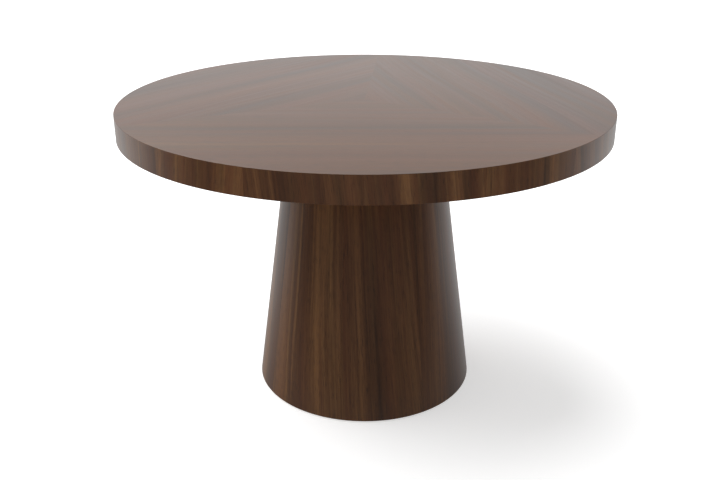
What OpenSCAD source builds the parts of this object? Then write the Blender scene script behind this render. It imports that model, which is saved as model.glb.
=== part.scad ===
// Round dining table with a top that tilts up on a pivot hidden in the head of a conical pedestal.
// +Z is up and the origin is the point on the floor under the middle of the pedestal.
// The pivot axis runs along X on the -Y side, so the +Y edge of the top lifts.

/* [Table] */
// Height from the floor to the top surface
table_h = 762; // [620:1:920]
// Diameter of the round top
top_d = 1219; // [1000:1:1480]
// Thickness of the top
top_t = 61; // [50:1:75]
// Thickness of the walnut veneer
veneer_t = 1; // [0.8:0.1:1.5]

/* [Top] */
// Thickness of the upper skin of the hollow-core top
upper_skin_t = 12; // [9:1:15]
// Thickness of the lower skin of the hollow-core top
lower_skin_t = 9; // [8:1:12]
// Width of the ring of timber inside the edge
rim_w = 60; // [40:1:90]
// Number of pieces in that ring
rim_count = 8; // [6:1:12]
// Thickness of the ribs of the core
rib_t = 15; // [9:1:18]
// Distance between the ribs of the core
rib_pitch = 110; // [90:1:130]
// Number of veneer leaves round the edge
edge_leaves = 16; // [8:1:24]

/* [Pedestal] */
// Diameter of the pedestal at its upper edge
base_top_d = 389; // [360:1:470]
// Diameter of the pedestal at its lower edge
base_foot_d = 577; // [500:1:690]
// Gap between the pedestal and the underside of the top
shadow_gap = 15; // [13:0.5:20]
// Gap between the pedestal and the floor
foot_gap = 3; // [2:0.5:5]
// Thickness of the bent plywood shell
shell_t = 12; // [9:1:15]
// Number of veneer leaves round the pedestal
base_leaves = 8; // [6:1:12]
// Thickness of the deck that carries the mechanism
deck_t = 25; // [18:1:30]
// Thickness of the disc at the foot
foot_disc_t = 24; // [18:1:30]
// Thickness of the ring half way up the pedestal
former_t = 18; // [12:1:24]
// Width of that ring
former_w = 70; // [50:1:90]
// Number of upright ribs behind the shell
upright_count = 8; // [6:1:12]
// Thickness of an upright rib
upright_t = 15; // [9:1:18]
// Depth of an upright rib, from the shell inwards
upright_w = 45; // [30:1:60]

/* [Column and ballast] */
// Outer diameter of the steel column
column_d = 76; // [60:1:100]
// Wall of the steel column
column_wall = 3; // [2:0.5:5]
// Diameter of the column's flanges
flange_d = 190; // [160:1:220]
// Thickness of the column's flanges
flange_t = 8; // [6:1:10]
// Diameter of the steel ballast plate
ballast_d = 400; // [320:1:420]
// Thickness of the steel ballast plate
ballast_t = 12; // [8:1:20]

/* [Levelling glides] */
// Number of glides
glide_count = 4; // [4:1:4]
// Distance from the shell's inside to the middle of a glide
glide_inset = 38; // [34:1:50]
// Diameter of a glide's foot
glide_d = 40; // [30:1:50]
// Height of a glide's foot
glide_h = 6; // [5:1:6]
// Length of a glide's screw
glide_stem_l = 34; // [30:1:40]

/* [Tilt mechanism] */
// Depth of the pivot axis below the underside of the top
pivot_drop = 90; // [80:1:110]
// Height of the pivot axis above the deck
pivot_h = 34; // [32:1:45]
// Clearance between the pedestal's edge and the underside as the top swings
swing_clear = 3; // [2:0.5:5]
// Largest tilt of the top
tilt_max = 85; // [60:1:85]
// Distance from the middle to the middle of an arm
arm_x = 55; // [45:1:60]
// Thickness of an arm
arm_t = 8; // [6:1:10]
// Radius of an arm's eye, which is half the width of its lower limb
eye_r = 13; // [12:1:14]
// Clearance between an arm and the pedestal's edge when the top is up
hook_clear = 10; // [8:1:14]
// Length of an arm's mounting flange
arm_flange_l = 130; // [110:1:150]
// Width of an arm's mounting flange
arm_flange_w = 42; // [40:1:50]
// Thickness of an arm's mounting flange
arm_flange_t = 6; // [5:1:8]
// Diameter of the pivot shaft
shaft_d = 14; // [12:1:14]
// Running clearance on the radius of the pivot shaft
shaft_clear = 0.05; // [0.02:0.01:0.09]
// Thickness of the bracket's ears
ear_t = 8; // [6:1:8]
// Thickness of the bracket's plate
bracket_t = 8; // [6:1:10]
// Diameter of the pin that stops the raised top
stop_pin_d = 8; // [6:1:8]
// Diameter of the rubber sleeve on that pin
stop_sleeve_d = 12; // [11:0.5:13]

/* [Rest and lock] */
// Width of the block that the top rests on
rest_w = 200; // [160:5:220]
// Depth of that block
rest_l = 36; // [30:1:45]
// Thickness of the rubber pads on that block
pad_t = 6; // [4:1:8]
// Width of the lock bar
lock_w = 25; // [20:1:30]
// Thickness of the lock bar
lock_t = 6; // [5:1:6]
// Length of the lock bar
lock_l = 180; // [160:5:200]
// Travel of the lock bar from open to locked
lock_travel = 20; // [16:1:20]
// Overhang of the keeper's lip over the locked bar
keeper_lip = 15; // [12:1:15]
// Thickness of the keeper
keeper_t = 5; // [4:1:6]

/* [Hidden] */
$fn = 96;

// Fits
slip = 0.1;        // clearance of a screw or a glued edge, on each side
seam = 0.1;        // width of the glue line between two leaves or segments of one ring
glue = 0.3;        // clearance of a flat piece against the round inside of the shell
touch_free = 0.3;  // gap that is left where a moving piece comes to rest
glue_film = 0.02;  // film of glue between the upper skin and the face veneer

// Screws and inserts
bolt_r = 4;
bolt_head_r = 6.5;
bolt_head_h = 5;
screw_r = 2;
screw_head_r = 4;
screw_head_h = 2.5;
insert_wall = 2.5;
insert_l = 20;

// Heights
face_z = table_h - veneer_t;
upper_skin_z = face_z - upper_skin_t;
under_z = table_h - top_t;
lower_skin_z = under_z + veneer_t;
core_z = lower_skin_z + lower_skin_t;
core_h = upper_skin_z - core_z;
shell_top_z = under_z - shadow_gap;
pivot_z = under_z - pivot_drop;
deck_top_z = pivot_z - pivot_h;
deck_z = deck_top_z - deck_t;
foot_disc_z = glide_h + 2;
ballast_z = foot_disc_z + foot_disc_t;
column_z = ballast_z + ballast_t;
former_z = (ballast_z + deck_z - former_t) / 2;

// Radii of the top
top_r = top_d / 2;
panel_r = top_r - veneer_t;
core_r = panel_r - rim_w;
face_count = 3;
first_seam = 86;  // direction of the first seam of the face
first_leaf = 32;  // direction of the first seam of the pedestal

// Radii of the pedestal, which falls in a straight line from its foot to its head
function wall_r(z) = base_foot_d / 2 + (base_top_d - base_foot_d) / 2 * (z - foot_gap) / (shell_top_z - foot_gap);
function shell_out_r(z) = wall_r(z) - veneer_t;
function shell_in_r(z) = shell_out_r(z) - shell_t;
glide_r = shell_in_r(foot_disc_z) - glide_inset;

// The pivot is as far in from the edge as lets the edge pass under the swinging top
pivot_inset = sqrt(pow(pivot_drop - swing_clear, 2) - pow(pivot_drop - shadow_gap, 2));
pivot_y = pivot_inset - base_top_d / 2;

// The arms reach inwards past the pedestal's edge before they rise to the top
arm_reach = pivot_drop - shadow_gap + hook_clear;
arm_foot = arm_reach + 2 * eye_r;
arm_fillet = 10;
arm_flange_z = under_z - arm_flange_t;
arm_bolt_y = [arm_reach + 20, arm_reach + arm_flange_l - 18];
arm_bolt_x = arm_flange_w / 2 - bolt_head_r - 1.5;
shaft_r = shaft_d / 2;
bush_wall = 2;
bush_flange_t = 1.5;
bush_flange_r = shaft_r + bush_wall + 2.5;
ear_gap = bush_flange_t + 0.5;
ear_in = arm_t / 2 + ear_gap;
ear_out = ear_in + ear_t;
ear_r = eye_r + 2;
clip_t = 1.2;
clip_depth = 1.5;
clip_r = shaft_r + 4;
shaft_end = arm_x + ear_out + 6;
clip_x = arm_x + ear_out + slip;

// The stop pin lies beside the raised arm, a little way above the pivot
stop_along = 20;
stop_off = eye_r + stop_sleeve_d / 2 + touch_free;
stop_y = -(stop_off * sin(tilt_max) - stop_along * cos(tilt_max));
stop_z = stop_along * sin(tilt_max) + stop_off * cos(tilt_max);
stop_ear_r = stop_pin_d / 2 + 3;
bracket_front = 16;
bracket_back = 56;
bracket_half_w = arm_x + ear_out + 8;
bracket_bolts = [[24, 0], [arm_x + 5, 42]];

// The rest block stands behind the arms, with the keeper on its far side
rest_y = pivot_y + arm_reach + arm_flange_l + 10;
rest_top_z = under_z - pad_t;
pad_r = 14;
pad_x = rest_w / 2 - 28;
keeper_y = rest_y + rest_l;
keeper_h = 58;
keeper_w = 36;
keeper_top_z = under_z - 1;
keeper_screw_z = [14, 38];
rest_screw_x = rest_w / 2 - 52;
lock_z = keeper_top_z - keeper_t - 1 - lock_t;
lock_open_y = keeper_y + keeper_t + keeper_lip + 7;
guide_l = 15;
guide_w = 47;
guide_y = [lock_open_y + 12, base_top_d / 2 + 21];
guide_screw_x = lock_w / 2 + 5.5;
guide_floor = 2.5;
guide_clear = 0.3;
knob_y = lock_open_y + lock_l - 16;
knob_r = 16;
knob_h = 30;
knob_screw_r = 3;
lock_pin_r = 2.5;
lock_pin_stand = 4;
lock_pin_y = guide_y[1] - lock_pin_r - touch_free;

// Blocking in the core behind the arms and the lock's guides
block_w = 200;
block_y = [pivot_y + arm_reach - 20, guide_y[1] + guide_l + 20];

// Colours
walnut = [0.30, 0.19, 0.12];
ply = [0.78, 0.64, 0.46];
board = [0.60, 0.47, 0.33];
black_steel = [0.10, 0.10, 0.11];
bright_steel = [0.70, 0.71, 0.73];
bronze = [0.66, 0.48, 0.24];
rubber = [0.06, 0.06, 0.06];
nylon = [0.86, 0.85, 0.81];

glide_names = [for (kind = ["glide_stem_", "glide_pad_"], i = [1:glide_count]) str(kind, i)];

// ---- Shapes that repeat ----

module both_sides() {
    children();
    mirror([1, 0, 0]) children();
}

// Angle that a glue line takes at radius r
function seam_angle(r) = seam / r * 180 / PI;

// Ring of one sector, from angle 0 to angle a
module sector(r_in, r_out, z, h, a) {
    rotate_extrude(angle = a) translate([r_in, z]) square([r_out - r_in, h]);
}

// Band of even thickness that follows the pedestal's slope
module cone_band(r_low, r_high, t, z_low, z_high, a = 360) {
    rotate_extrude(angle = a)
        polygon([[r_low - t, z_low], [r_low, z_low], [r_high, z_high], [r_high - t, z_high]]);
}

// Disc that fits inside the shell
module shell_disc(z, t) {
    translate([0, 0, z]) cylinder(r1 = shell_in_r(z) - slip, r2 = shell_in_r(z + t) - slip, h = t);
}

module round_bar_x(r, x_from, x_to) {
    translate([x_from, 0, 0]) rotate([0, 90, 0]) cylinder(r = r, h = x_to - x_from);
}

// Bolt whose head is below z = 0 and whose shank points up
module bolt_up(l) {
    translate([0, 0, -bolt_head_h]) cylinder(r = bolt_head_r, h = bolt_head_h, $fn = 6);
    translate([0, 0, -1]) cylinder(r = bolt_r, h = l + 1);
}

module screw_up(l) {
    translate([0, 0, -screw_head_h]) cylinder(r = screw_head_r, h = screw_head_h);
    translate([0, 0, -1]) cylinder(r = screw_r, h = l + 1);
}

module hole(r, h) {
    translate([0, 0, -h]) cylinder(r = r + slip, h = 2 * h);
}

module arm_bolt_places() {
    both_sides() for (dx = [-1, 1], y = arm_bolt_y)
        translate([arm_x + dx * arm_bolt_x, pivot_y + y, 0]) children();
}

module guide_screw_places() {
    both_sides() for (y = guide_y) translate([guide_screw_x, y + guide_l / 2, 0]) children();
}

module bracket_bolt_places() {
    both_sides() for (p = bracket_bolts) translate([p[0], pivot_y + p[1], 0]) children();
}

module flange_bolt_places() {
    for (i = [0:3]) rotate([0, 0, 45 + 90 * i]) translate([flange_d / 2 - 22, 0, 0]) children();
}

module glide_place(i) {
    rotate([0, 0, 45 + 360 / glide_count * (i - 1)]) translate([glide_r, 0, 0]) children();
}

// ---- Top ----

// One of the three sheets of face veneer, which meet in the middle
module face_veneer(i) {
    color(walnut) rotate([0, 0, first_seam + 360 / face_count * i])
        sector(0, top_r, face_z, veneer_t, 360 / face_count);
}

module edge_veneer() {
    step = 360 / edge_leaves;
    color(walnut) for (i = [0:edge_leaves - 1])
        rotate([0, 0, step * i]) sector(panel_r, top_r, under_z, face_z - under_z, step - seam_angle(top_r));
}

module backer_veneer() {
    color(walnut) difference() {
        translate([0, 0, under_z]) cylinder(r = panel_r, h = veneer_t);
        translate([0, 0, under_z]) arm_bolt_places() hole(bolt_r, 3);
        translate([0, 0, under_z]) guide_screw_places() hole(screw_r, 3);
    }
}

module upper_skin() {
    color(board) translate([0, 0, upper_skin_z]) cylinder(r = panel_r, h = upper_skin_t - glue_film);
}

module lower_skin() {
    color(board) difference() {
        translate([0, 0, lower_skin_z]) cylinder(r = panel_r, h = lower_skin_t);
        translate([0, 0, under_z]) arm_bolt_places() hole(bolt_r, top_t / 2);
        translate([0, 0, under_z]) guide_screw_places() hole(screw_r, top_t / 2);
    }
}

module rim_segments() {
    step = 360 / rim_count;
    color(ply) for (i = [0:rim_count - 1])
        rotate([0, 0, step * i]) sector(core_r, panel_r, core_z, core_h, step - seam_angle(core_r));
}

// Ribs along X; the ribs along Y are the same set turned, and halve into them from above
module ribs(notch_z) {
    count = floor(core_r / rib_pitch);
    intersection() {
        difference() {
            for (k = [-count:count])
                translate([-core_r, k * rib_pitch - rib_t / 2, core_z]) cube([2 * core_r, rib_t, core_h]);
            for (k = [-count:count])
                translate([k * rib_pitch - rib_t / 2 - slip, -core_r, notch_z])
                    cube([rib_t + 2 * slip, 2 * core_r, core_h]);
        }
        translate([0, 0, core_z - 1]) cylinder(r = core_r - slip, h = core_h + 2);
    }
}

module block_space(clear) {
    translate([-block_w / 2 - clear, block_y[0] - clear, core_z - clear])
        cube([block_w + 2 * clear, block_y[1] - block_y[0] + 2 * clear, core_h + 2 * clear]);
}

module core_ribs_x() {
    color(ply) difference() {
        ribs(core_z + core_h / 2);
        block_space(slip);
    }
}

module core_ribs_y() {
    color(ply) difference() {
        rotate([0, 0, 90]) ribs(core_z - core_h / 2);
        block_space(slip);
    }
}

module core_block() {
    color(ply) difference() {
        block_space(0);
        translate([0, 0, core_z]) arm_bolt_places() hole(bolt_r + insert_wall, insert_l);
        translate([0, 0, core_z]) guide_screw_places() hole(screw_r, 12);
    }
}

module core_inserts() {
    color(bronze) arm_bolt_places() translate([0, 0, core_z]) difference() {
        cylinder(r = bolt_r + insert_wall, h = insert_l);
        translate([0, 0, -1]) cylinder(r = bolt_r + slip, h = insert_l + 2);
    }
}

// ---- Tilt arms, which hook over the pedestal's edge when the top is up ----

// Outline of an arm's plate with the pivot at the origin, inwards along X and up along Y
module arm_outline() {
    top_edge = pivot_drop - arm_flange_t;
    circle(r = eye_r);
    polygon([
        [0, -eye_r], [arm_foot, -eye_r], [arm_reach + arm_flange_l, top_edge],
        [arm_reach, top_edge], [arm_reach, eye_r], [0, eye_r]
    ]);
    difference() {
        translate([arm_reach - arm_fillet, eye_r - 1]) square(arm_fillet + 1);
        translate([arm_reach - arm_fillet, eye_r + arm_fillet]) circle(r = arm_fillet);
    }
}

module tilt_arm() {
    color(black_steel) difference() {
        union() {
            translate([arm_x - arm_t / 2, pivot_y, pivot_z])
                rotate([90, 0, 90]) linear_extrude(arm_t) arm_outline();
            translate([arm_x - arm_flange_w / 2, pivot_y + arm_reach, arm_flange_z])
                cube([arm_flange_w, arm_flange_l, arm_flange_t]);
        }
        translate([0, pivot_y, pivot_z])
            round_bar_x(shaft_r + bush_wall + slip, arm_x - arm_t, arm_x + arm_t);
        translate([0, 0, under_z]) arm_bolt_places() hole(bolt_r, 2 * arm_flange_t);
    }
}

// Two flanged bushes in each arm, one from each side
module arm_bushes() {
    color(bronze) both_sides() for (side = [-1, 1])
        translate([arm_x, pivot_y, pivot_z]) rotate([0, 90 * side, 0]) difference() {
            union() {
                translate([0, 0, seam]) cylinder(r = shaft_r + bush_wall, h = arm_t / 2 + bush_flange_t - seam);
                translate([0, 0, arm_t / 2]) cylinder(r = bush_flange_r, h = bush_flange_t);
            }
            translate([0, 0, -1]) cylinder(r = shaft_r + shaft_clear, h = arm_t + bush_flange_t);
        }
}

module arm_bolts() {
    color(bright_steel) arm_bolt_places() translate([0, 0, arm_flange_z])
        bolt_up(core_z + insert_l - 2 - arm_flange_z);
}

// ---- Lock, which slides under the keeper's lip ----

module lock_guides() {
    color(nylon) difference() {
        for (y = guide_y) translate([-guide_w / 2, y, lock_z - guide_floor])
            cube([guide_w, guide_l, under_z - lock_z + guide_floor]);
        translate([-lock_w / 2 - guide_clear, 0, lock_z - guide_clear])
            cube([lock_w + 2 * guide_clear, top_r, lock_t + 2 * guide_clear]);
        translate([0, 0, under_z]) guide_screw_places() hole(screw_r, top_t);
    }
}

module guide_screws() {
    color(bright_steel) guide_screw_places()
        translate([0, 0, lock_z - guide_floor]) screw_up(core_z + 10 - lock_z + guide_floor);
}

module lock_bar() {
    color(black_steel) difference() {
        translate([-lock_w / 2, lock_open_y, lock_z]) cube([lock_w, lock_l, lock_t]);
        translate([0, knob_y, lock_z]) hole(knob_screw_r, 2 * lock_t);
        translate([0, lock_pin_y, lock_z]) hole(lock_pin_r, 2 * lock_t);
    }
}

// Pin that meets the outer guide when the bar is drawn back
module lock_pin() {
    color(bright_steel) translate([0, lock_pin_y, lock_z])
        cylinder(r = lock_pin_r, h = lock_t + lock_pin_stand);
}

module lock_knob() {
    color(walnut) translate([0, knob_y, lock_z - knob_h]) difference() {
        rotate_extrude() polygon([
            [0, 0], [knob_r - 4, 0], [knob_r, 5], [knob_r, 12], [knob_r - 7, 22], [knob_r - 6, knob_h], [0, knob_h]
        ]);
        translate([0, 0, knob_h]) hole(knob_screw_r, 16);
    }
}

module knob_screw() {
    color(bright_steel) translate([0, knob_y, lock_z - 14]) {
        cylinder(r = knob_screw_r, h = 14 + lock_t);
        translate([0, 0, 14 + lock_t]) cylinder(r = knob_screw_r + 2.5, h = 3);
    }
}

// ---- Pedestal ----

module base_veneer() {
    step = 360 / base_leaves;
    color(walnut) for (i = [0:base_leaves - 1]) rotate([0, 0, first_leaf + step * i])
        cone_band(base_foot_d / 2, base_top_d / 2, veneer_t, foot_gap, shell_top_z, step - seam_angle(base_top_d / 2));
}

module base_shell() {
    color(ply) cone_band(base_foot_d / 2 - veneer_t, base_top_d / 2 - veneer_t, shell_t, foot_gap, shell_top_z);
}

module deck() {
    color(ply) difference() {
        shell_disc(deck_z, deck_t);
        translate([0, 0, deck_z]) flange_bolt_places() hole(bolt_r, deck_t - 4);
        translate([0, 0, deck_top_z]) bracket_bolt_places() hole(bolt_r, deck_t - 4);
        translate([0, 0, deck_z]) rest_screw_places() hole(screw_r, 2 * deck_t);
    }
}

module mid_former() {
    color(ply) difference() {
        shell_disc(former_z, former_t);
        translate([0, 0, former_z - 1]) cylinder(r = shell_in_r(former_z) - former_w, h = former_t + 2);
    }
}

module foot_disc() {
    color(ply) difference() {
        shell_disc(foot_disc_z, foot_disc_t);
        translate([0, 0, ballast_z]) flange_bolt_places() hole(bolt_r, foot_disc_t - 4);
        for (i = [1:glide_count]) glide_place(i) {
            translate([0, 0, foot_disc_z]) hole(bolt_r + insert_wall, 2 * foot_disc_t);
            translate([0, 0, foot_disc_z]) hole(2 * bolt_r + insert_wall, 2);
        }
    }
}

// Uprights between two discs, with their outer edges against the shell
module uprights(z_low, z_high) {
    color(ply) for (i = [0:upright_count - 1]) rotate([0, 0, 360 / upright_count * (i + 0.5)])
        translate([0, upright_t / 2, 0]) rotate([90, 0, 0]) linear_extrude(upright_t) polygon([
            [shell_in_r(z_low) - glue - upright_w, z_low], [shell_in_r(z_low) - glue, z_low],
            [shell_in_r(z_high) - glue, z_high], [shell_in_r(z_high) - glue - upright_w, z_high]
        ]);
}

module column() {
    color(black_steel) difference() {
        union() {
            translate([0, 0, column_z]) cylinder(r = column_d / 2, h = deck_z - column_z);
            translate([0, 0, column_z]) cylinder(r = flange_d / 2, h = flange_t);
            translate([0, 0, deck_z - flange_t]) cylinder(r = flange_d / 2, h = flange_t);
        }
        translate([0, 0, column_z - 1]) cylinder(r = column_d / 2 - column_wall, h = deck_z - column_z + 2);
        for (z = [column_z, deck_z]) translate([0, 0, z]) flange_bolt_places() hole(bolt_r, 2 * flange_t);
    }
}

// Bolts that hold the column to the foot, head up
module column_bolts() {
    color(bright_steel) translate([0, 0, column_z + flange_t]) mirror([0, 0, 1])
        flange_bolt_places() bolt_up(flange_t + ballast_t + foot_disc_t - 6);
}

module deck_bolts() {
    color(bright_steel) translate([0, 0, deck_z - flange_t])
        flange_bolt_places() bolt_up(flange_t + deck_t - 6);
}

module ballast_plate() {
    color(black_steel) difference() {
        translate([0, 0, ballast_z]) cylinder(r = ballast_d / 2, h = ballast_t);
        translate([0, 0, ballast_z]) flange_bolt_places() hole(bolt_r, 2 * ballast_t);
    }
}

// ---- Pivot ----

module ear_outline() {
    hull() {
        circle(r = ear_r, $fn = 32);
        translate([stop_y, stop_z]) circle(r = stop_ear_r, $fn = 32);
        translate([-bracket_front, bracket_t - pivot_h]) square([bracket_front + bracket_back / 2, 1]);
    }
}

module pivot_bracket() {
    color(black_steel) difference() {
        union() {
            translate([-bracket_half_w, pivot_y - bracket_front, deck_top_z])
                cube([2 * bracket_half_w, bracket_front + bracket_back, bracket_t]);
            both_sides() for (x = [arm_x - ear_out, arm_x + ear_in])
                translate([x, pivot_y, pivot_z]) rotate([90, 0, 90]) linear_extrude(ear_t) ear_outline();
        }
        translate([0, pivot_y, pivot_z]) round_bar_x(shaft_r + slip, -shaft_end, shaft_end);
        translate([0, pivot_y + stop_y, pivot_z + stop_z])
            round_bar_x(stop_pin_d / 2 + slip, -shaft_end, shaft_end);
        translate([0, 0, deck_top_z]) bracket_bolt_places() hole(bolt_r, 2 * bracket_t);
    }
}

module bracket_bolts() {
    color(bright_steel) translate([0, 0, deck_top_z + bracket_t]) mirror([0, 0, 1])
        bracket_bolt_places() bolt_up(bracket_t + deck_t - 6);
}

module pivot_shaft() {
    color(bright_steel) translate([0, pivot_y, pivot_z]) difference() {
        round_bar_x(shaft_r, -shaft_end, shaft_end);
        both_sides() difference() {
            round_bar_x(shaft_r + 1, clip_x, clip_x + clip_t + slip);
            round_bar_x(shaft_r - clip_depth, clip_x - 1, clip_x + clip_t + 1);
        }
    }
}

// Open rings that snap into the grooves near the shaft's ends
module shaft_clips() {
    gap = 2 * shaft_r - 4;
    color(black_steel) both_sides() translate([clip_x, pivot_y, pivot_z]) rotate([0, 90, 0]) difference() {
        cylinder(r = clip_r, h = clip_t);
        translate([0, 0, -1]) cylinder(r = shaft_r - clip_depth + slip, h = clip_t + 2);
        translate([0, -gap / 2, -1]) cube([clip_r + 1, gap, clip_t + 2]);
    }
}

module stop_pin() {
    color(bright_steel) translate([0, pivot_y + stop_y, pivot_z + stop_z])
        round_bar_x(stop_pin_d / 2, -arm_x - ear_out - 1, arm_x + ear_out + 1);
}

module stop_sleeves() {
    color(rubber) both_sides() translate([0, pivot_y + stop_y, pivot_z + stop_z]) difference() {
        round_bar_x(stop_sleeve_d / 2, arm_x - ear_in + slip, arm_x + ear_in - slip);
        round_bar_x(stop_pin_d / 2 + slip, arm_x - ear_out, arm_x + ear_out);
    }
}

// ---- Rest and keeper ----

module rest_screw_places() {
    both_sides() translate([rest_screw_x, rest_y + rest_l / 2, 0]) children();
}

module keeper_screw_places() {
    for (z = keeper_screw_z) translate([0, keeper_y, keeper_top_z - keeper_h + z]) rotate([90, 0, 0]) children();
}

module rest_block() {
    color(ply) difference() {
        translate([-rest_w / 2, rest_y, deck_top_z]) cube([rest_w, rest_l, rest_top_z - deck_top_z]);
        translate([0, 0, deck_top_z]) rest_screw_places() hole(screw_r, 40);
        keeper_screw_places() hole(screw_r, 24);
    }
}

module rest_screws() {
    color(bright_steel) rest_screw_places() translate([0, 0, deck_z]) screw_up(deck_t + 36);
}

module rest_pads() {
    color(rubber) both_sides() translate([pad_x, rest_y + rest_l / 2, rest_top_z]) cylinder(r = pad_r, h = pad_t);
}

module keeper() {
    color(black_steel) difference() {
        union() {
            translate([-keeper_w / 2, keeper_y, keeper_top_z - keeper_h]) cube([keeper_w, keeper_t, keeper_h]);
            translate([-keeper_w / 2, keeper_y, keeper_top_z - keeper_t])
                cube([keeper_w, keeper_t + keeper_lip, keeper_t]);
        }
        keeper_screw_places() hole(screw_r, 2 * keeper_t);
    }
}

module keeper_screws() {
    color(bright_steel) translate([0, keeper_t, 0]) keeper_screw_places() screw_up(keeper_t + 20);
}

// ---- Levelling glides ----

module glide_inserts() {
    color(bright_steel) for (i = [1:glide_count]) glide_place(i) translate([0, 0, foot_disc_z]) difference() {
        union() {
            cylinder(r = bolt_r + insert_wall, h = foot_disc_t);
            cylinder(r = 2 * bolt_r + insert_wall, h = 2);
        }
        translate([0, 0, -1]) cylinder(r = bolt_r + shaft_clear, h = foot_disc_t + 2);
    }
}

module glide_stem(i) {
    color(bright_steel) glide_place(i) translate([0, 0, glide_h - 2]) cylinder(r = bolt_r, h = glide_stem_l);
}

module glide_pad(i) {
    color(nylon) glide_place(i) difference() {
        union() {
            cylinder(r1 = glide_d / 2 - 1, r2 = glide_d / 2, h = 1);
            translate([0, 0, 1]) cylinder(r = glide_d / 2, h = glide_h - 3);
            translate([0, 0, glide_h - 2]) cylinder(r1 = glide_d / 2, r2 = glide_d / 2 - 6, h = 2);
        }
        translate([0, 0, glide_h - 2]) cylinder(r = bolt_r + slip, h = glide_h);
    }
}

face_veneer(0);  // veneer_left
face_veneer(1);  // veneer_front
face_veneer(2);  // veneer_right
edge_veneer();
backer_veneer();
upper_skin();
lower_skin();
rim_segments();
core_ribs_x();
core_ribs_y();
core_block();
core_inserts();
mirror([1, 0, 0]) tilt_arm();  // tilt_arm_left
tilt_arm();  // tilt_arm_right
arm_bushes();
arm_bolts();
lock_guides();
guide_screws();
lock_bar();
lock_pin();
lock_knob();
knob_screw();
base_veneer();
base_shell();
deck();
mid_former();
foot_disc();
uprights(former_z + former_t, deck_z);  // upper_uprights
uprights(ballast_z, former_z);  // lower_uprights
column();
column_bolts();
deck_bolts();
ballast_plate();
pivot_bracket();
bracket_bolts();
pivot_shaft();
shaft_clips();
stop_pin();
stop_sleeves();
rest_block();
rest_screws();
rest_pads();
keeper();
keeper_screws();
glide_inserts();
for (i = [1:glide_count]) {
    glide_stem(i);
    glide_pad(i);
}
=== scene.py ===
# %% [markdown]
# # Tilt top table in walnut
# A round dining table on a conical pedestal. The top is a hollow core faced with three sheets of
# walnut veneer, and it tilts up on a pivot that is hidden in the pedestal's head.
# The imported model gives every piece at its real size. This lesson gives each one its finish, and
# rebuilds the walnut leaves and the hardware that shows with the eased edges of the real ones.

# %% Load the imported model
import math

import bmesh
import bpy
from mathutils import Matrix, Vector


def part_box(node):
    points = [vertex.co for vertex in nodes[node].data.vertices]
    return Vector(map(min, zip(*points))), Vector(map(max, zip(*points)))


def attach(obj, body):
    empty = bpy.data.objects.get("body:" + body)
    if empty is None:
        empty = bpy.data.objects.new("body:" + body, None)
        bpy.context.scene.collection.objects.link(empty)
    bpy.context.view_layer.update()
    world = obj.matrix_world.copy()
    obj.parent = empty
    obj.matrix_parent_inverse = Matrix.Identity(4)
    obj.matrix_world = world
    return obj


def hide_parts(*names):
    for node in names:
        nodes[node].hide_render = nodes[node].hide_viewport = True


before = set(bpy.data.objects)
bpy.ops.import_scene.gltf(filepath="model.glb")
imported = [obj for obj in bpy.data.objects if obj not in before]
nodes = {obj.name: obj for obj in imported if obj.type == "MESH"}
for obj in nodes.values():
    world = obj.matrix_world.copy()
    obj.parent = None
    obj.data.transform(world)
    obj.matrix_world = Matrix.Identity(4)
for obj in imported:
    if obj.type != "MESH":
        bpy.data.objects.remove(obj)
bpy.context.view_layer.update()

MM = 0.001
TURN = 2 * math.pi

# %% [markdown]
# The camera comes first, so that every later choice is judged from the same place.
# A table is looked at from a standing person's eye height, a little over two metres away.
# A longish lens keeps the round top from looking stretched.

# %% Camera
EYE = Vector((0.0, -2.138, 1.2605))
PITCH = math.radians(22.38)
YAW = math.radians(0.33)
LENS_MM = 43.3

camera_data = bpy.data.cameras.new("camera")
camera_data.lens = LENS_MM
camera_data.sensor_width = 36.0
camera = bpy.data.objects.new("camera", camera_data)
camera.location = EYE
camera.rotation_euler = (math.pi / 2 - PITCH, 0.0, YAW)
bpy.context.scene.collection.objects.link(camera)
bpy.context.scene.camera = camera
bpy.context.scene.view_settings.view_transform = "Standard"

# %% [markdown]
# A node tree is easier to read when each node takes one line. This small helper adds nodes to a
# tree, and takes either a number or another node's output for every input.


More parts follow.
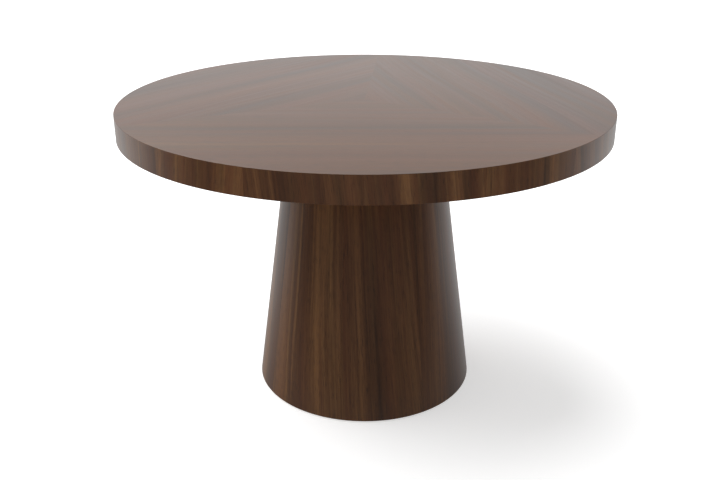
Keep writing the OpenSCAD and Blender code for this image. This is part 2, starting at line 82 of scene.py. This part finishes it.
# %% A helper for node trees
class Tree:
    """Adds nodes to a node tree. An input is set by a number, a tuple or another node's output."""

    def __init__(self, tree):
        self.tree = tree

    def node(self, kind, inputs=None, **settings):
        made = self.tree.nodes.new(kind)
        for name, value in settings.items():
            setattr(made, name, value)
        for key, value in (inputs or {}).items():
            self.put(made.inputs[key], value)
        return made

    def put(self, socket, value):
        if isinstance(value, bpy.types.NodeSocket):
            self.tree.links.new(value, socket)
        else:
            socket.default_value = value

    def math(self, operation, a, b=0.0, c=0.0):
        return self.node("ShaderNodeMath", {0: a, 1: b, 2: c}, operation=operation).outputs[0]

    def scaled(self, vector, factors):
        return self.node("ShaderNodeVectorMath", {0: vector, 1: factors}, operation="MULTIPLY").outputs[0]

    def vector(self, x, y, z):
        return self.node("ShaderNodeCombineXYZ", {0: x, 1: y, 2: z}).outputs[0]

    def noise(self, vector, per_metre, detail=2.0, roughness=0.5, distortion=0.0):
        """Noise with its own number of waves a metre along each axis, from 0 to 1 around 0.5."""
        inputs = {"Vector": self.scaled(vector, per_metre), "Scale": 1.0, "Detail": detail,
                  "Roughness": roughness, "Distortion": distortion}
        return self.node("ShaderNodeTexNoise", inputs).outputs["Fac"]

    def ramp(self, factor, stops):
        made = self.node("ShaderNodeValToRGB", {"Fac": factor})
        elements = made.color_ramp.elements
        while len(elements) < len(stops):
            elements.new(0.5)
        for element, (place, colour) in zip(elements, stops):
            element.position = place
            element.color = (*colour, 1.0)
        return made.outputs["Color"]

    def mix(self, factor, a, b, blend_type="MIX"):
        made = self.node("ShaderNodeMix", data_type="RGBA", blend_type=blend_type)
        self.put(made.inputs["Factor"], factor)
        self.put(made.inputs[6], a)
        self.put(made.inputs[7], b)
        return made.outputs[2]

    def spread(self, value, low, high):
        """Takes a value from 0 to 1 and spreads it from low to high."""
        inputs = {"Value": value, "To Min": low, "To Max": high}
        return self.node("ShaderNodeMapRange", inputs).outputs["Result"]


def tone(red, green, blue):
    """A colour as it looks on a screen, from 0 to 255, turned into the light it stands for."""
    parts = [part / 255 for part in (red, green, blue)]
    return tuple(((part + 0.055) / 1.055) ** 2.4 if part > 0.04045 else part / 12.92 for part in parts)


# %% [markdown]
# Walnut shows best in soft light. The light comes from high behind the left of the table, through
# something broad, so the shadow falls softly to the right and a little forward.
# The room behind the table is white and the room in front is dim. The polish shows that: seen flat,
# the top mirrors the white wall, while the upright faces stay deep brown.

# %% Room and light
ROOM_LIGHT = 0.42
ROOM_BEHIND = 1.04
ROOM_IN_FRONT = 0.13
ROOM_SEEN = 1.0
SUN_STRENGTH = 3.3
SUN_WIDTH = math.radians(66)
SUN_FROM = Vector((-0.50, 0.20, 1.0))


def fade(tree, along, start, end, low, high):
    """A smooth change from low to high as a coordinate goes from start to end."""
    inputs = {"Value": along, "From Min": start, "From Max": end, "To Min": low, "To Max": high}
    return tree.node("ShaderNodeMapRange", inputs, interpolation_type="SMOOTHSTEP").outputs["Result"]


room = bpy.data.worlds.new("white_room")
room.use_nodes = True
bpy.context.scene.world = room
room.node_tree.nodes.clear()
rt = Tree(room.node_tree)
ray = rt.node("ShaderNodeLightPath").outputs
direction = rt.node("ShaderNodeTexCoord").outputs["Generated"]
towards_back = rt.node("ShaderNodeSeparateXYZ", {0: direction}).outputs[1]
in_polish = fade(rt, towards_back, -0.2, 0.7, ROOM_IN_FRONT, ROOM_BEHIND)
mirrored = rt.math("MAXIMUM", ray["Is Glossy Ray"], ray["Is Transmission Ray"])
strength = rt.node("ShaderNodeMix", {"Factor": mirrored, "A": ROOM_LIGHT, "B": in_polish}).outputs["Result"]
to_camera = ray["Is Camera Ray"]
strength = rt.node("ShaderNodeMix", {"Factor": to_camera, "A": strength, "B": ROOM_SEEN}).outputs["Result"]
white_light = rt.node("ShaderNodeBackground", {"Color": (1, 1, 1, 1), "Strength": strength}).outputs[0]
rt.node("ShaderNodeOutputWorld", {"Surface": white_light})

sun_data = bpy.data.lights.new("soft_sun", "SUN")
sun_data.energy = SUN_STRENGTH
sun_data.angle = SUN_WIDTH
sun = bpy.data.objects.new("soft_sun", sun_data)
sun.rotation_euler = (-SUN_FROM).to_track_quat("-Z", "Y").to_euler()
bpy.context.scene.collection.objects.link(sun)

# %% [markdown]
# The floor is a plain white sheet that runs out of sight. For the camera it glows as well as
# reflects, so open floor is pure white and only the deeper shadow shows on it. The polish sees it
# fade towards the dim side of the room.

# %% Floor
FLOOR_HALF = 40.0
FLOOR_GLOW = 0.50
FLOOR_WHITE = 0.8
FLOOR_FADE = (-0.9, 1.1)

floor_mesh = bpy.data.meshes.new("floor")
floor_corners = [(FLOOR_HALF * x, FLOOR_HALF * y, 0.0) for x, y in ((-1, -1), (1, -1), (1, 1), (-1, 1))]
floor_mesh.from_pydata(floor_corners, [], [(0, 1, 2, 3)])
floor = bpy.data.objects.new("floor", floor_mesh)
bpy.context.scene.collection.objects.link(floor)
paper = bpy.data.materials.new("white_paper")
paper.use_nodes = True
paper.node_tree.nodes.clear()
pt = Tree(paper.node_tree)
ray = pt.node("ShaderNodeLightPath").outputs
floor_y = pt.node("ShaderNodeSeparateXYZ", {0: pt.node("ShaderNodeTexCoord").outputs["Object"]}).outputs[1]
plain_white = pt.node("ShaderNodeBsdfDiffuse", {"Color": (FLOOR_WHITE,) * 3 + (1,)}).outputs[0]
seen_glow = pt.node("ShaderNodeEmission", {"Strength": FLOOR_GLOW}).outputs[0]
seen_floor = pt.node("ShaderNodeAddShader", {0: plain_white, 1: seen_glow}).outputs[0]
mirror_glow = fade(pt, floor_y, *FLOOR_FADE, ROOM_IN_FRONT, ROOM_BEHIND)
mirror_floor = pt.node("ShaderNodeEmission", {"Strength": mirror_glow}).outputs[0]
mirrored = pt.math("MAXIMUM", ray["Is Glossy Ray"], ray["Is Transmission Ray"])
to_camera = ray["Is Camera Ray"]
paper_shader = pt.node("ShaderNodeMixShader", {0: mirrored, 1: plain_white, 2: mirror_floor}).outputs[0]
paper_shader = pt.node("ShaderNodeMixShader", {0: to_camera, 1: paper_shader, 2: seen_floor}).outputs[0]
pt.node("ShaderNodeOutputMaterial", {"Surface": paper_shader})
floor_mesh.materials.append(paper)


# %% [markdown]
# Every finish starts the same way: a Principled shader, a colour and a bump that come from noise,
# and a roughness that varies a little. Values that are the same all over sit on the shader itself.


# %% Starting a finish
class Finish(Tree):
    """A material with one Principled shader, whose patterns read the piece's own coordinates."""

    def __init__(self, name, **settings):
        self.material = bpy.data.materials.new(name)
        self.material.use_nodes = True
        super().__init__(self.material.node_tree)
        self.shader = self.tree.nodes["Principled BSDF"]
        for key, value in settings.items():
            self.shader.inputs[key.replace("_", " ")].default_value = value
        self.place = self.node("ShaderNodeTexCoord").outputs["Object"]

    def done(self, colour, roughness, height, depth, strength=1.0):
        """Links the colour, the roughness and a bump whose full height is depth metres."""
        self.put(self.shader.inputs["Base Color"], colour)
        self.put(self.shader.inputs["Roughness"], roughness)
        bump = self.node("ShaderNodeBump", {"Height": height, "Distance": depth, "Strength": strength})
        self.put(self.shader.inputs["Normal"], bump.outputs["Normal"])
        return self.material


# %% [markdown]
# Walnut veneer is one plank sliced thin, so every leaf shows long lines along the grain and quick
# changes across it. The recipe needs only two lengths, along and across. A flat sheet gets them by
# turning its coordinates, and a leaf wrapped round a cone gets them from the angle and the height.
# The layers are those of real wood: broad bands of colour, growth lines, fine pores, and a slow
# drift that bends them all together.


# %% Walnut
WALNUT_DARK = tone(46, 26, 10)
WALNUT_MID = tone(80, 50, 20)
WALNUT_LIGHT = tone(118, 80, 40)
WALNUT_RED = tone(90, 48, 20)
WALNUT_PORE = tone(36, 20, 8)


def flat_grain(finish, grain_angle, sheet_number):
    """Across, along and leaf number for a flat sheet whose grain lies at an angle to X."""
    turning = {"Vector": finish.place, "Rotation": (0, 0, -grain_angle)}
    turned_place = finish.node("ShaderNodeMapping", turning).outputs[0]
    parts = finish.node("ShaderNodeSeparateXYZ", {0: turned_place}).outputs
    return parts[1], parts[0], float(sheet_number)


def wrapped_grain(finish, radius, count, first_angle):
    """Across, along and leaf number for leaves that stand round the Z axis."""
    parts = finish.node("ShaderNodeSeparateXYZ", {0: finish.place}).outputs
    angle = finish.math("ARCTAN2", parts[1], parts[0])
    from_first = finish.math("WRAP", finish.math("SUBTRACT", angle, first_angle), TURN, 0.0)
    leaves = finish.math("DIVIDE", from_first, TURN / count)
    across = finish.math("MULTIPLY", finish.math("FRACT", leaves), TURN / count * radius)
    return across, parts[2], finish.math("FLOOR", leaves)


def walnut(name, grain, bands=14.0, lines=110.0, contrast=1.0, painted_shade_and_tone_shift=0.0, drift_mm=14.0, leaf_change=0.10,
           lean=0.0, seed=0.0):
    """Satin walnut veneer. grain is a function that gives across, along and the leaf's number."""
    f = Finish(name, Specular_IOR_Level=0.5, IOR=1.5)
    across, along, leaf = grain(f)
    leaf_place = f.math("MULTIPLY_ADD", leaf, 3.7, seed)
    lean_seed = f.vector(leaf_place, 0.9, 0.1)
    leaf_lean = f.node("ShaderNodeTexWhiteNoise", {"Vector": lean_seed}).outputs["Value"]
    leaning = f.math("MULTIPLY", f.math("SUBTRACT", leaf_lean, 0.5), lean)
    across = f.math("MULTIPLY_ADD", along, leaning, across)
    straight = f.vector(across, along, leaf_place)
    drift = f.math("SUBTRACT", f.noise(straight, (5.0, 1.3, 1.0), 1.0), 0.5)
    bent_across = f.math("MULTIPLY_ADD", drift, drift_mm * MM * 2, across)
    wood = f.vector(bent_across, along, leaf_place)
    broad = f.noise(wood, (bands, 0.35, 1.0), 3.0, 0.55)
    growth = f.noise(wood, (lines, 1.1, 1.0), 5.0, 0.72)
    fibre = f.noise(wood, (620.0, 14.0, 1.0), 2.0, 0.6)
    tone_seed = f.vector(leaf_place, 0.3, 0.7)
    leaf_tone = f.node("ShaderNodeTexWhiteNoise", {"Vector": tone_seed}).outputs["Value"]
    # The shift added to 0.5 moves the whole colour ramp: on the face sheets it is painted shade, on the
    # other leaves their own tone.
    depth = f.math("MULTIPLY_ADD", f.math("SUBTRACT", broad, 0.5), 2.3 * contrast, 0.5 + painted_shade_and_tone_shift)
    depth = f.math("MULTIPLY_ADD", f.math("SUBTRACT", growth, 0.5), 1.7 * contrast, depth)
    depth = f.math("MULTIPLY_ADD", f.math("SUBTRACT", fibre, 0.5), 0.50 * contrast, depth)
    depth = f.math("MULTIPLY_ADD", f.math("SUBTRACT", leaf_tone, 0.5), leaf_change, depth)
    brown = f.ramp(depth, [(0.12, WALNUT_DARK), (0.50, WALNUT_MID), (0.88, WALNUT_LIGHT)])
    red_noise = f.noise(wood, (bands * 2.3, 0.6, 1.7), 2.0)
    reddened = f.mix(f.spread(red_noise, -0.5, 1.2), brown, (*WALNUT_RED, 1.0))
    pore_noise = f.noise(wood, (900.0, 38.0, 1.0), 1.0)
    pores = f.ramp(pore_noise, [(0.30, (1, 1, 1)), (0.42, (0, 0, 0))])
    colour = f.mix(f.math("MULTIPLY", pores, 0.55), reddened, (*WALNUT_PORE, 1.0))
    roughness = f.spread(growth, 0.26, 0.42)
    height = f.math("SUBTRACT", f.math("MULTIPLY_ADD", growth, 0.4, fibre), pores)
    return f.done(colour, roughness, height, 0.04 * MM, 0.5)


# %% [markdown]
# The face of the top is three sheets that meet near the middle. Each has its own grain direction,
# so the light catches them differently. The edge and the pedestal have upright grain, in leaves.

# %% The walnut sheets' sizes
SHEETS = {"veneer_front": 0.0, "veneer_left": 52.0, "veneer_right": 104.0}
FIRST_SEAM = math.radians(86)
SHEET_STARTS = {"veneer_left": 0, "veneer_front": 1, "veneer_right": 2}
EDGE_LEAVES = 16
BASE_LEAVES = 8
FIRST_BASE_SEAM = math.radians(32)
SEAM = 0.1 * MM

edge_low, edge_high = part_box("edge_veneer")
face_low, face_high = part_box("veneer_front")
base_low, base_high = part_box("base_veneer")
top_r = edge_high.y
table_h = face_high.z
veneer_t = face_high.z - face_low.z
foot_r = base_high.y
print("top radius", round(top_r, 4), "height", round(table_h, 4), "veneer", round(veneer_t, 4))


# %% [markdown]
# Each leaf is a thin solid: an outline in the plane of radius and height, swept round the Z axis.
# The outline carries the small round that sanding leaves on an arris, which is what catches the
# light along the edge of a real table.


# %% Swept leaves
def smooth_by_angle(mesh, degrees=35.0):
    for polygon in mesh.polygons:
        polygon.use_smooth = True
    mesh.set_sharp_from_angle(angle=math.radians(degrees))


def finished_object(name, work, material=None, smooth=35.0):
    """Turns a bmesh into an object at the origin, with clean outward faces."""
    bmesh.ops.remove_doubles(work, verts=work.verts, dist=1e-6)
    bmesh.ops.dissolve_degenerate(work, edges=work.edges, dist=1e-7)
    bmesh.ops.recalc_face_normals(work, faces=work.faces)
    mesh = bpy.data.meshes.new(name)
    work.to_mesh(mesh)
    work.free()
    smooth_by_angle(mesh, smooth)
    if material:
        mesh.materials.append(material)
    made = bpy.data.objects.new(name, mesh)
    bpy.context.scene.collection.objects.link(made)
    return made


def swept_leaf(name, outline, start, sweep, steps, material=None):
    """Sweeps a closed outline of (radius, height) round Z and closes both ends."""
    work = bmesh.new()
    rings = []
    for step in range(steps + 1):
        angle = start + sweep * step / steps
        ring = [work.verts.new((r * math.cos(angle), r * math.sin(angle), z)) for r, z in outline]
        rings.append(ring)
    count = len(outline)
    for one, two in zip(rings, rings[1:]):
        for i in range(count):
            work.faces.new((one[i], two[i], two[(i + 1) % count], one[(i + 1) % count]))
    work.faces.new(rings[0])
    work.faces.new(list(reversed(rings[-1])))
    return finished_object(name, work, material)


def arc_points(centre, radius, start, end, steps):
    """Points of an arc in the plane of radius and height, with its angles in degrees."""
    points = []
    for step in range(steps + 1):
        angle = math.radians(start + (end - start) * step / steps)
        points.append((centre[0] + radius * math.cos(angle), centre[1] + radius * math.sin(angle)))
    return points


# %% [markdown]
# The three face sheets are a pie cut in three. Their outer arris is a quarter round as deep as the
# veneer, so the top's edge has a soft bright line and not a knife edge.

# %% Face sheets
face_round = 0.95 * veneer_t


def make_face_sheet(name, grain_angle):
    start = FIRST_SEAM + SHEET_STARTS[name] * TURN / 3
    rounded = arc_points((top_r - face_round, table_h - face_round), face_round, 0, 90, 6)
    outline = [(0.0, face_low.z), (top_r, face_low.z), *rounded, (0.0, table_h)]
    # The face sheets' walnut is shifted 0.16 darker than the edge and pedestal leaves: painted shade that
    # offsets the stronger light falling on the flat top.
    material = walnut(
        "walnut_" + name, lambda f: flat_grain(f, math.radians(grain_angle), SHEET_STARTS[name]),
        bands=9.0, lines=80.0, contrast=0.55, painted_shade_and_tone_shift=-0.16, drift_mm=22.0, leaf_change=0.06, seed=11.0)
    sheet = swept_leaf("face_" + name, outline, start, TURN / 3, 96, material)
    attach(sheet, "tilt_top")
    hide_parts(name)
    return sheet


face_sheets = [make_face_sheet(name, angle) for name, angle in SHEETS.items()]
print("face sheets", [len(s.data.polygons) for s in face_sheets])


# %% [markdown]
# Round the edge and round the pedestal the same leaf comes again and again. That is a job for
# Geometry Nodes: one leaf goes in, and the tree turns copies of it round the Z axis, makes them
# real and gives them their finish. The result is baked to a plain mesh, because nothing live may
# be left on a piece.


# %% A ring of leaves with Geometry Nodes
def new_geometry_tree(name, sockets):
    """A geometry tree with a geometry output and the named inputs."""
    group = bpy.data.node_groups.new(name, "GeometryNodeTree")
    group.interface.new_socket("Result", in_out="OUTPUT", socket_type="NodeSocketGeometry")
    for label, kind in sockets:
        group.interface.new_socket(label, in_out="INPUT", socket_type=kind)
    tree = Tree(group)
    return tree, tree.node("NodeGroupInput").outputs, tree.node("NodeGroupOutput").inputs


def input_identifier(group, label):
    for item in group.interface.items_tree:
        if item.item_type == "SOCKET" and item.in_out == "INPUT" and item.name == label:
            return item.identifier
    raise KeyError(label)


def bake_tree(name, source, group, values):
    """Runs a geometry tree on an object and gives back a plain object with the result."""
    modifier = source.modifiers.new("tree", "NODES")
    modifier.node_group = group
    for label, value in values.items():
        modifier[input_identifier(group, label)] = value
    graph = bpy.context.evaluated_depsgraph_get()
    graph.update()
    mesh = bpy.data.meshes.new_from_object(source.evaluated_get(graph))
    mesh.name = name
    made = bpy.data.objects.new(name, mesh)
    bpy.context.scene.collection.objects.link(made)
    bpy.data.objects.remove(source)
    return made


ring_tree, given, result = new_geometry_tree("ring_of_leaves", [
    ("Leaf", "NodeSocketGeometry"), ("Count", "NodeSocketInt"), ("Finish", "NodeSocketMaterial")])
spots = ring_tree.node("GeometryNodeMeshLine", {"Count": given["Count"], "Offset": (0, 0, 0)}).outputs[0]
number = ring_tree.node("GeometryNodeInputIndex").outputs[0]
turn = ring_tree.math("DIVIDE", ring_tree.math("MULTIPLY", number, TURN), given["Count"])
copies = ring_tree.node("GeometryNodeInstanceOnPoints", {
    "Points": spots, "Instance": given["Leaf"], "Rotation": ring_tree.vector(0.0, 0.0, turn)}).outputs[0]
real = ring_tree.node("GeometryNodeRealizeInstances", {0: copies}).outputs[0]
facing = {"Geometry": real, "Material": given["Finish"]}
faced = ring_tree.node("GeometryNodeSetMaterial", facing).outputs[0]
ring_tree.put(result[0], faced)


def ring_of(name, leaf, count, material):
    """Turns one leaf into a whole ring of them, as one mesh."""
    made = bake_tree(name, leaf, ring_tree.tree, {"Count": count, "Finish": material})
    smooth_by_angle(made.data)
    return made


# %% [markdown]
# The edge of the top is banded with upright leaves. Its lower arris is eased as the upper one is.

# %% Edge leaves
edge_round = 0.8 * veneer_t
edge_inner = top_r - veneer_t
edge_outline = [
    (edge_inner, edge_low.z),
    *arc_points((top_r - edge_round, edge_low.z + edge_round), edge_round, 270, 360, 5),
    (top_r, edge_high.z), (edge_inner, edge_high.z)]
edge_sweep = TURN / EDGE_LEAVES - SEAM / top_r
edge_walnut = walnut(
    "walnut_edge", lambda f: wrapped_grain(f, top_r, EDGE_LEAVES, 0.0),
    bands=24.0, lines=150.0, contrast=0.66, painted_shade_and_tone_shift=0.0, drift_mm=3.0, leaf_change=0.14, lean=0.5, seed=2.0)
edge_leaf = swept_leaf("edge_leaf", edge_outline, 0.0, edge_sweep, 24)
edge_band = ring_of("edge_band", edge_leaf, EDGE_LEAVES, edge_walnut)
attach(edge_band, "tilt_top")
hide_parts("edge_veneer")
print("edge band", len(edge_band.data.polygons), "faces")

# %% [markdown]
# The pedestal is a cone, so its leaves are cut narrower at the top than at the foot. Their grain
# runs straight down the slope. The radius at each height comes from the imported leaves' own size.

# %% Pedestal leaves
packed_leaves = bpy.data.objects["base_veneer"].data.vertices
head_r = max(v.co.xy.length for v in packed_leaves if v.co.z > base_high.z - 0.1 * MM)
base_round = 0.9 * veneer_t
base_outline = [
    (foot_r - veneer_t, base_low.z), (foot_r - base_round * 0.6, base_low.z),
    (foot_r, base_low.z + base_round),
    (head_r + base_round * 0.14, base_high.z - base_round), (head_r - base_round * 0.6, base_high.z),
    (head_r - veneer_t, base_high.z)]
base_sweep = TURN / BASE_LEAVES - SEAM / head_r
base_walnut = walnut(
    "walnut_pedestal", lambda f: wrapped_grain(f, (foot_r + head_r) / 2, BASE_LEAVES, FIRST_BASE_SEAM),
    bands=13.0, lines=130.0, contrast=0.90, painted_shade_and_tone_shift=0.07, drift_mm=20.0, leaf_change=0.12, lean=0.16, seed=5.0)
base_leaf = swept_leaf("base_leaf", base_outline, FIRST_BASE_SEAM, base_sweep, 32)
pedestal_leaves = ring_of("pedestal_leaves", base_leaf, BASE_LEAVES, base_walnut)
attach(pedestal_leaves, "pedestal")
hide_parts("base_veneer")
print("pedestal leaves", len(pedestal_leaves.data.polygons), "faces")
print("pedestal radius at the foot", round(foot_r, 5), "and at the head", round(head_r, 5))

# %% [markdown]
# The underside is backed with plainer walnut in one sheet, so the panel stays flat. The knob is
# turned from the same wood. Both use the walnut recipe with straight, quiet grain.

# %% Backer and knob
def finish_node(name, material):
    """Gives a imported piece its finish. Its mesh stays as it is."""
    mesh = bpy.data.objects[name].data
    mesh.materials.clear()
    mesh.materials.append(material)


def upright_grain(finish):
    """Grain that runs down Z, as in a piece turned on a lathe."""
    parts = finish.node("ShaderNodeSeparateXYZ", {0: finish.place}).outputs
    return finish.math("ADD", parts[0], parts[1]), parts[2], 0.0


backer_walnut = walnut(
    "walnut_backer", lambda f: flat_grain(f, 0.0, 7), bands=7.0, lines=60.0, contrast=0.7, seed=3.0)
knob_walnut = walnut("walnut_knob", upright_grain, bands=40.0, lines=260.0, contrast=0.8, seed=9.0)
finish_node("backer_veneer", backer_walnut)
finish_node("lock_knob", knob_walnut)

# %% [markdown]
# Plywood is birch sheets glued crosswise. A cut edge shows the plies as thin light and dark lines,
# and a face shows long pale grain. The plies lie flat in the discs and the rim, stand upright in
# the ribs and uprights, and follow the curve in the pedestal's shell.

# %% Plywood
BIRCH_PALE = tone(222, 192, 150)
BIRCH_WARM = tone(203, 166, 118)
BIRCH_GLUE = tone(142, 102, 64)
PLY = 1.5 * MM


def plywood(name, through):
    """through is a function that gives the distance through the sheet, across its plies."""
    f = Finish(name, Specular_IOR_Level=0.35)
    parts = f.node("ShaderNodeSeparateXYZ", {0: f.place}).outputs
    wander = f.noise(f.place, (9.0, 9.0, 9.0), 2.0)
    plies = f.math("DIVIDE", f.math("MULTIPLY_ADD", wander, 0.5 * MM, through(f, parts)), PLY)
    glue_line = f.math("PINGPONG", plies, 0.5)
    layer = f.math("FLOOR", plies)
    cross = f.math("PINGPONG", layer, 1.0)
    grain = f.noise(f.place, (14.0, 240.0, 30.0), 4.0, 0.6)
    grain_crossed = f.noise(f.place, (240.0, 14.0, 30.0), 4.0, 0.6)
    figure = f.node("ShaderNodeMix", {"Factor": cross, "A": grain, "B": grain_crossed}).outputs["Result"]
    pale = f.ramp(figure, [(0.30, BIRCH_WARM), (0.62, BIRCH_PALE)])
    shaded = f.mix(f.math("MULTIPLY", cross, 0.22), pale, (*BIRCH_GLUE, 1.0))
    line = f.ramp(glue_line, [(0.04, (1, 1, 1)), (0.12, (0, 0, 0))])
    colour = f.mix(f.math("MULTIPLY", line, 0.6), shaded, (*BIRCH_GLUE, 1.0))
    height = f.math("SUBTRACT", figure, f.math("MULTIPLY", line, 0.5))
    return f.done(colour, f.spread(figure, 0.50, 0.68), height, 0.10 * MM)


SLOPE = (foot_r - head_r) / (base_high.z - base_low.z)


def along_z(finish, parts):
    return parts[2]


def along_wall(finish, parts):
    """Distance in from the pedestal's sloping face."""
    level = finish.vector(parts[0], parts[1], 0.0)
    radius = finish.node("ShaderNodeVectorMath", {0: level}, operation="LENGTH")
    return finish.math("MULTIPLY_ADD", parts[2], SLOPE, radius.outputs["Value"])


ply_flat = plywood("birch_ply_flat", along_z)
ply_x = plywood("birch_ply_across_x", lambda f, parts: parts[0])
ply_y = plywood("birch_ply_across_y", lambda f, parts: parts[1])
ply_bent = plywood("birch_ply_bent", along_wall)
PLY_NODES = {
    "rim_segments": ply_flat, "core_block": ply_flat, "deck": ply_flat, "mid_former": ply_flat,
    "foot_disc": ply_flat, "rest_block": ply_y, "core_ribs_x": ply_y, "core_ribs_y": ply_x,
    "upper_uprights": ply_x, "lower_uprights": ply_x, "base_shell": ply_bent}
for name, material in PLY_NODES.items():
    finish_node(name, material)

# %% [markdown]
# The skins are fibreboard: fine wood dust pressed flat, mid brown, matt and slightly mottled.

# %% Fibreboard
f = Finish("fibreboard", Specular_IOR_Level=0.3)
mottle = f.noise(f.place, (60.0, 60.0, 60.0), 3.0)
dust = f.noise(f.place, (1400.0, 1400.0, 1400.0), 2.0)
board_mix = f.math("MULTIPLY_ADD", dust, 0.5, f.math("MULTIPLY", mottle, 0.5))
board_colour = f.ramp(board_mix, [(0.35, tone(139, 104, 70)), (0.65, tone(170, 133, 94))])
fibreboard = f.done(board_colour, f.spread(mottle, 0.66, 0.80), dust, 0.05 * MM)
for name in ("upper_skin", "lower_skin"):
    finish_node(name, fibreboard)


# %% [markdown]
# The steel parts that carry the top are powder coated black: a fine orange-peel skin, not quite
# even in gloss. The same recipe, with other numbers, makes the moulded rubber and nylon.


# %% Coated, rubber and nylon parts
def speckled(name, dark, light, roughness, grain, depth_mm, **settings):
    """A fine, even skin: two close colours, and a bump with its own number of grains a metre."""
    f = Finish(name, **settings)
    fine = f.noise(f.place, (grain, grain, grain), 3.0, 0.55)
    slow = f.noise(f.place, (22.0, 22.0, 22.0), 3.0)
    both = f.math("MULTIPLY_ADD", slow, 0.6, f.math("MULTIPLY", fine, 0.4))
    colour = f.ramp(both, [(0.30, dark), (0.70, light)])
    return f.done(colour, f.spread(slow, *roughness), fine, depth_mm * MM)


powder_coat = speckled("black_powder_coat", tone(20, 20, 22), tone(38, 38, 41), (0.34, 0.50), 620.0, 0.05)
rubber = speckled(
    "black_rubber", tone(24, 24, 24), tone(44, 43, 42), (0.62, 0.82), 900.0, 0.06, Specular_IOR_Level=0.3)
nylon = speckled(
    "grey_nylon", tone(58, 59, 62), tone(84, 85, 88), (0.42, 0.56), 500.0, 0.03, Subsurface_Weight=0.05)


# %% [markdown]
# Bare metal is told apart by its surface. Zinc plate has soft crystals and a faint yellow cast,
# ground steel has fine rings round the bar, and a bronze bush has a warmer, cloudier face.


# %% Bare metals
def metal(name, dark, light, roughness, waves, depth_mm):
    f = Finish(name, Metallic=1.0)
    fine = f.noise(f.place, waves, 3.0, 0.6)
    cloud = f.noise(f.place, (55.0, 55.0, 55.0), 3.0)
    both = f.math("MULTIPLY_ADD", cloud, 0.65, f.math("MULTIPLY", fine, 0.35))
    colour = f.ramp(both, [(0.3, dark), (0.7, light)])
    return f.done(colour, f.spread(fine, *roughness), fine, depth_mm * MM)


zinc = metal(
    "zinc_plate", tone(168, 167, 158), tone(205, 205, 200), (0.28, 0.46), (420.0, 420.0, 420.0), 0.02)
ground_steel = metal(
    "ground_steel", tone(176, 178, 182), tone(206, 208, 212), (0.16, 0.28), (2600.0, 60.0, 60.0), 0.008)
bronze = metal(
    "sintered_bronze", tone(150, 108, 58), tone(191, 146, 88), (0.36, 0.52), (800.0, 800.0, 800.0), 0.03)

METAL_AND_MOULDED = {
    powder_coat: ("tilt_arm_left", "tilt_arm_right", "lock_bar", "column", "ballast_plate", "pivot_bracket",
                  "shaft_clips", "keeper"),
    zinc: ("arm_bolts", "guide_screws", "lock_pin", "knob_screw", "column_bolts", "deck_bolts",
           "bracket_bolts", "stop_pin", "rest_screws", "keeper_screws", "glide_inserts"),
    ground_steel: ("pivot_shaft",),
    bronze: ("core_inserts", "arm_bushes"),
    rubber: ("stop_sleeves", "rest_pads"),
    nylon: ("lock_guides",)}
for material, names in METAL_AND_MOULDED.items():
    for name in names:
        finish_node(name, material)
for name in nodes:
    if name.startswith("glide_stem"):
        finish_node(name, zinc)
    if name.startswith("glide_pad"):
        finish_node(name, nylon)

# %% [markdown]
# No part leaves a workshop with knife edges. Sheared and bent steel is tumbled before it is coated,
# wood is sanded at the arris, and moulded pieces have a small radius. Those narrow rounds are what
# catches the light when the top is up. Each is made on a copy: its loose triangles are joined, flat
# areas become single faces, and then only the sharp edges are rounded.

# %% Eased edges
EASED = {
    "tilt_arm_left": ("tilt_top", "black_steel", 0.8), "tilt_arm_right": ("tilt_top", "black_steel", 0.8),
    "arm_bolts": ("tilt_top", "zinc_steel", 0.6), "lock_guides": ("tilt_top", "nylon", 0.5),
    "lock_bar": ("lock", "black_steel", 0.8), "lock_knob": ("lock", "knob_wood", 1.2),
    "pivot_bracket": ("pedestal", "black_steel", 0.8), "keeper": ("pedestal", "black_steel", 0.6),
    "rest_block": ("pedestal", "plywood", 1.2), "rest_pads": ("pedestal", "rubber", 0.8),
    "stop_sleeves": ("pedestal", "rubber", 0.5)}


def ease(name, body, width_mm):
    """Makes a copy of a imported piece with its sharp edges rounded, and lets it stand for the piece."""
    packed = bpy.data.objects[name]
    work = bmesh.new()
    work.from_mesh(packed.data)
    bmesh.ops.remove_doubles(work, verts=work.verts, dist=2e-6)
    bmesh.ops.dissolve_limit(work, angle_limit=math.radians(0.5), verts=work.verts, edges=work.edges)
    bmesh.ops.recalc_face_normals(work, faces=work.faces)
    mesh = bpy.data.meshes.new("eased_" + name)
    work.to_mesh(mesh)
    work.free()
    mesh.materials.clear()
    mesh.materials.append(packed.data.materials[0])
    rough = bpy.data.objects.new("rough_" + name, mesh)
    bpy.context.scene.collection.objects.link(rough)
    rounding = rough.modifiers.new("rounding", "BEVEL")
    rounding.width = width_mm * MM
    rounding.segments = 3
    rounding.limit_method = "ANGLE"
    rounding.angle_limit = math.radians(40)
    graph = bpy.context.evaluated_depsgraph_get()
    graph.update()
    eased_mesh = bpy.data.meshes.new_from_object(rough.evaluated_get(graph))
    bpy.data.objects.remove(rough)
    smooth_by_angle(eased_mesh, 40.0)
    eased = bpy.data.objects.new("eased_" + name, eased_mesh)
    bpy.context.scene.collection.objects.link(eased)
    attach(eased, body)
    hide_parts(name)
    return len(eased_mesh.polygons)


unfinished = [name for name in nodes if not bpy.data.objects[name].data.materials]
for name, (body, slot, width_mm) in EASED.items():
    print("eased", name, ease(name, body, width_mm), "faces")
print("pieces still without a finish:", unfinished)
